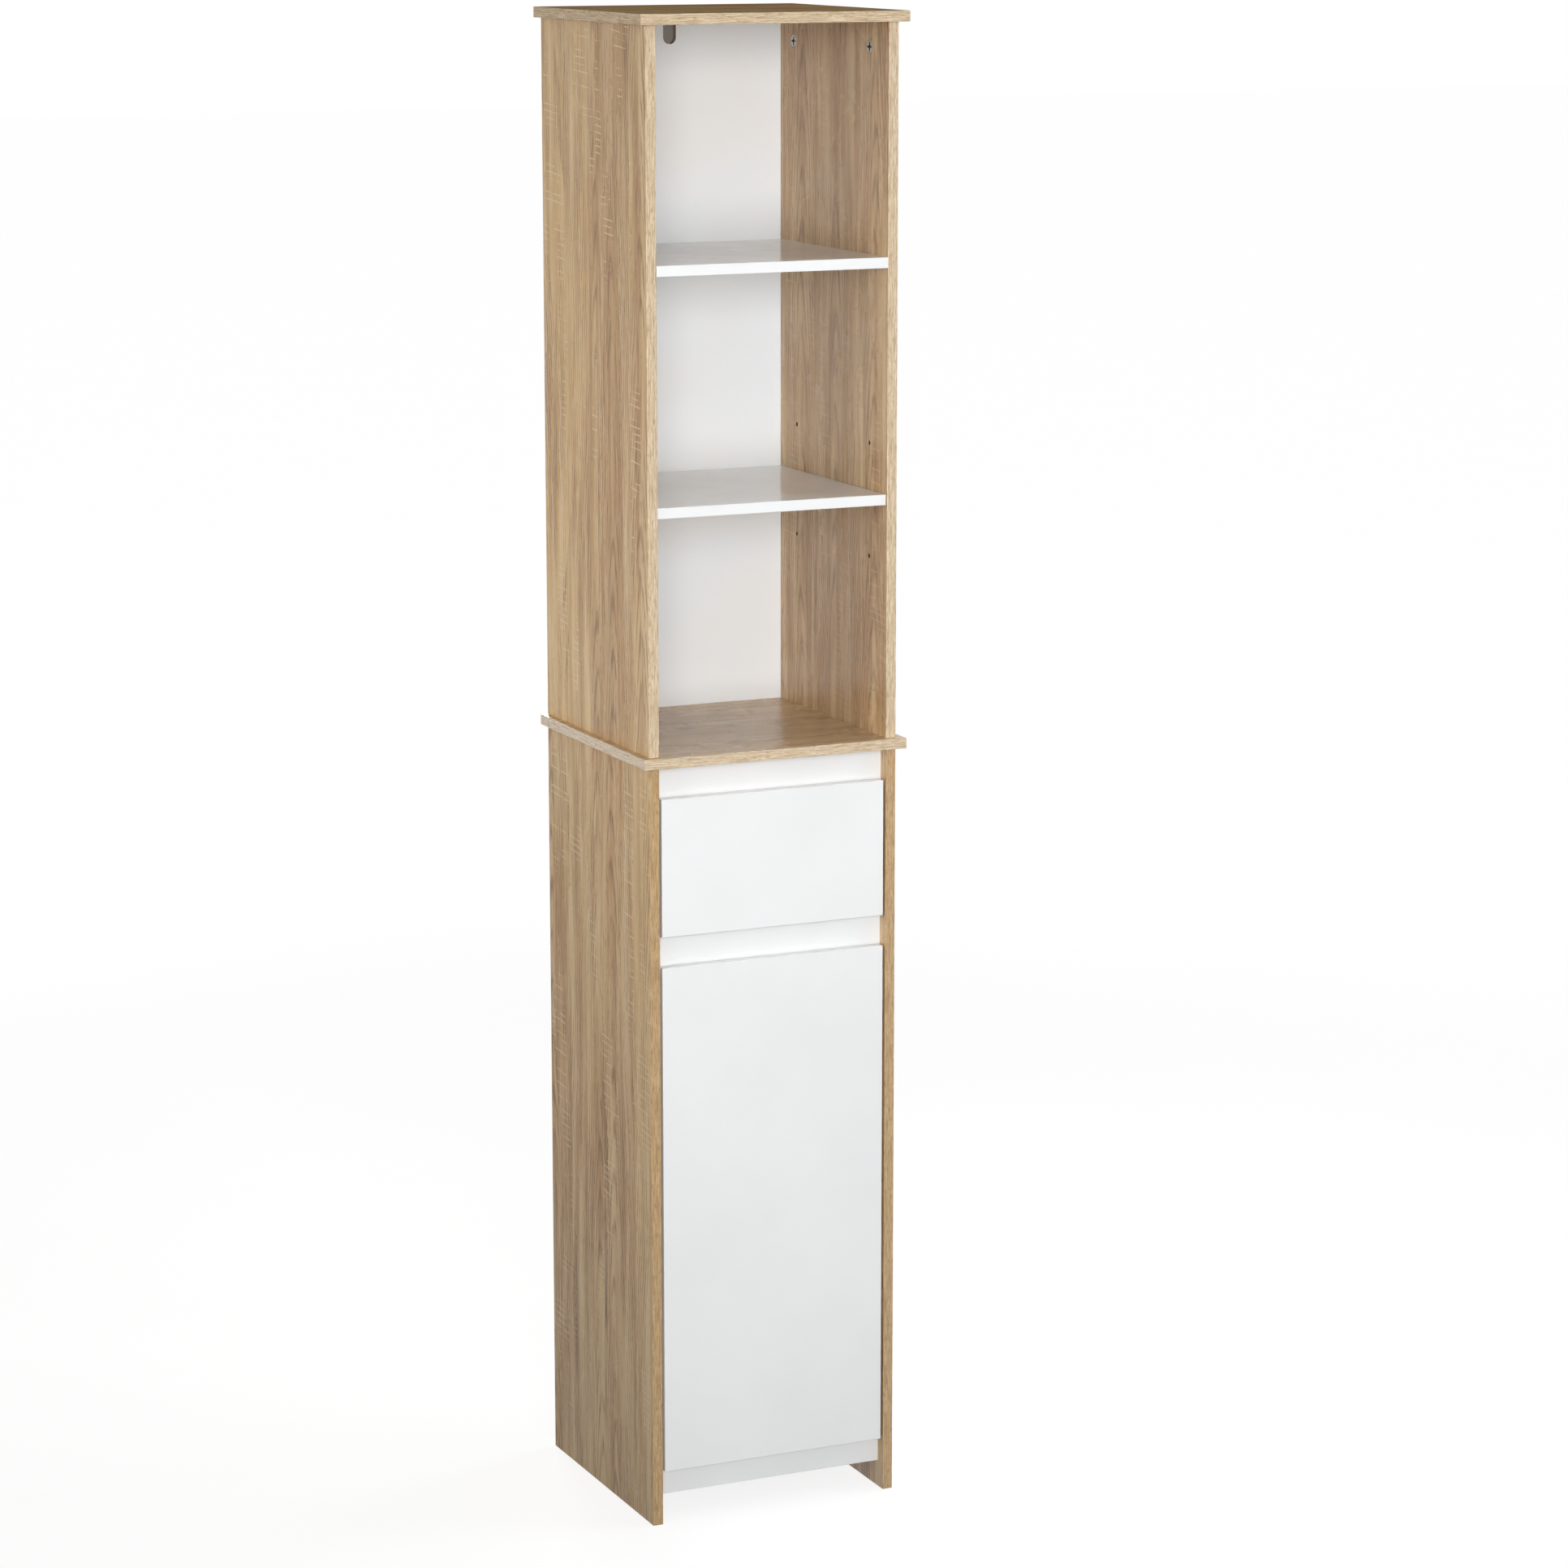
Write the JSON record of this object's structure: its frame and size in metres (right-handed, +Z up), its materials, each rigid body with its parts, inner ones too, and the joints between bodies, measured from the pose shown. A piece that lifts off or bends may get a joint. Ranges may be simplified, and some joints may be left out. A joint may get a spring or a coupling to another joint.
{
  "type": "tall bathroom storage cabinet",
  "caption": "Tall slim floor-standing bathroom cabinet with open shelf bays above and a drawer and a hinged door below, in oak decor and white.",
  "frame": {"origin": "middle of the footprint on the floor", "axes": "+Z up, the front faces -Y, +X to the right seen from the front"},
  "size_m": [0.32, 0.31, 1.7],
  "materials": {
    "oak_laminate": "light oak decor foil on board, satin",
    "white_laminate": "white melamine on board, satin",
    "white_hardboard": "white lacquered hardboard, satin",
    "zinc_alloy": "die-cast zinc, dull",
    "bright_steel": "zinc-plated steel",
    "white_steel": "white powder coat",
    "white_plastic": "white moulded plastic",
    "beech": "raw beech with flutes",
    "grey_steel": "dark grey paint",
    "ferrite": "dark sintered ferrite"
  },
  "bodies": {
    "carcass": {"top_panel": "oak_laminate", "mid_panel": "oak_laminate", "upper_side_left": "oak_laminate", "upper_side_right": "oak_laminate", "lower_side_left": "oak_laminate", "lower_side_right": "oak_laminate", "upper_fixed_shelf": "white_laminate", "upper_adjustable_shelf": "white_laminate", "lower_adjustable_shelf": "white_laminate", "top_rail": "white_laminate", "middle_rail": "white_laminate", "plinth_rail": "white_laminate", "bottom_panel": "white_laminate", "upper_back_panel": "white_hardboard", "lower_back_panel": "white_hardboard", "cam_locks": "zinc_alloy", "hinge_mounting_plates": "zinc_alloy", "cam_bolts": "bright_steel", "mid_panel_screws": "bright_steel", "cabinet_runner_screws": "bright_steel", "front_roller_axles": "bright_steel", "hinge_arms": "bright_steel", "hinge_arm_screws": "bright_steel", "hinge_plate_screws": "bright_steel", "catch_screws": "bright_steel", "wall_bracket_screws": "bright_steel", "upper_shelf_pins": "bright_steel", "lower_shelf_pins": "bright_steel", "cabinet_runner_left": "white_steel", "cabinet_runner_right": "white_steel", "catch_housing": "white_plastic", "dowels": "beech", "wall_bracket": "grey_steel", "catch_magnet": "ferrite"},
    "drawer": {"drawer_front": "white_laminate", "drawer_side_left": "white_laminate", "drawer_side_right": "white_laminate", "drawer_back": "white_laminate", "drawer_bottom": "white_hardboard", "drawer_runner_left": "white_steel", "drawer_runner_right": "white_steel", "drawer_runner_screws": "bright_steel", "rear_roller_axles": "bright_steel", "drawer_cam_locks": "zinc_alloy", "drawer_cam_bolts": "bright_steel", "drawer_back_screws": "bright_steel"},
    "door": {"door": "white_laminate", "hinge_cups": "bright_steel", "hinge_cup_screws": "bright_steel", "hinge_pins": "bright_steel", "strike_plate": "bright_steel", "strike_screws": "bright_steel"},
    "front_rollers": {"front_rollers": "white_plastic"},
    "rear_rollers": {"rear_rollers": "white_plastic"}
  },
  "joints": [
    {"name": "drawer_slide", "type": "slide", "parent": "carcass", "child": "drawer", "axis": [0, -1, 0], "range_m": [0, 0.185]},
    {"name": "door_swing", "type": "hinge", "parent": "carcass", "child": "door", "pos_m": [0.1312, -0.139, 0.3565], "axis": [0, 0, 1], "range_deg": [0, 95]},
    {"name": "front_roller_spin", "type": "hinge", "parent": "carcass", "child": "front_rollers", "pos_m": [0, -0.121, 0.7087], "axis": [1, 0, 0], "range_deg": [0, 1380]},
    {"name": "rear_roller_spin", "type": "hinge", "parent": "drawer", "child": "rear_rollers", "pos_m": [0, 0.107, 0.7087], "axis": [1, 0, 0], "range_deg": [0, 1380]}
  ],
  "couplings": [
    {"joint": "front_roller_spin", "follows": "drawer_slide", "rad_per_m": 129.87},
    {"joint": "rear_roller_spin", "follows": "drawer_slide", "rad_per_m": 129.87}
  ]
}
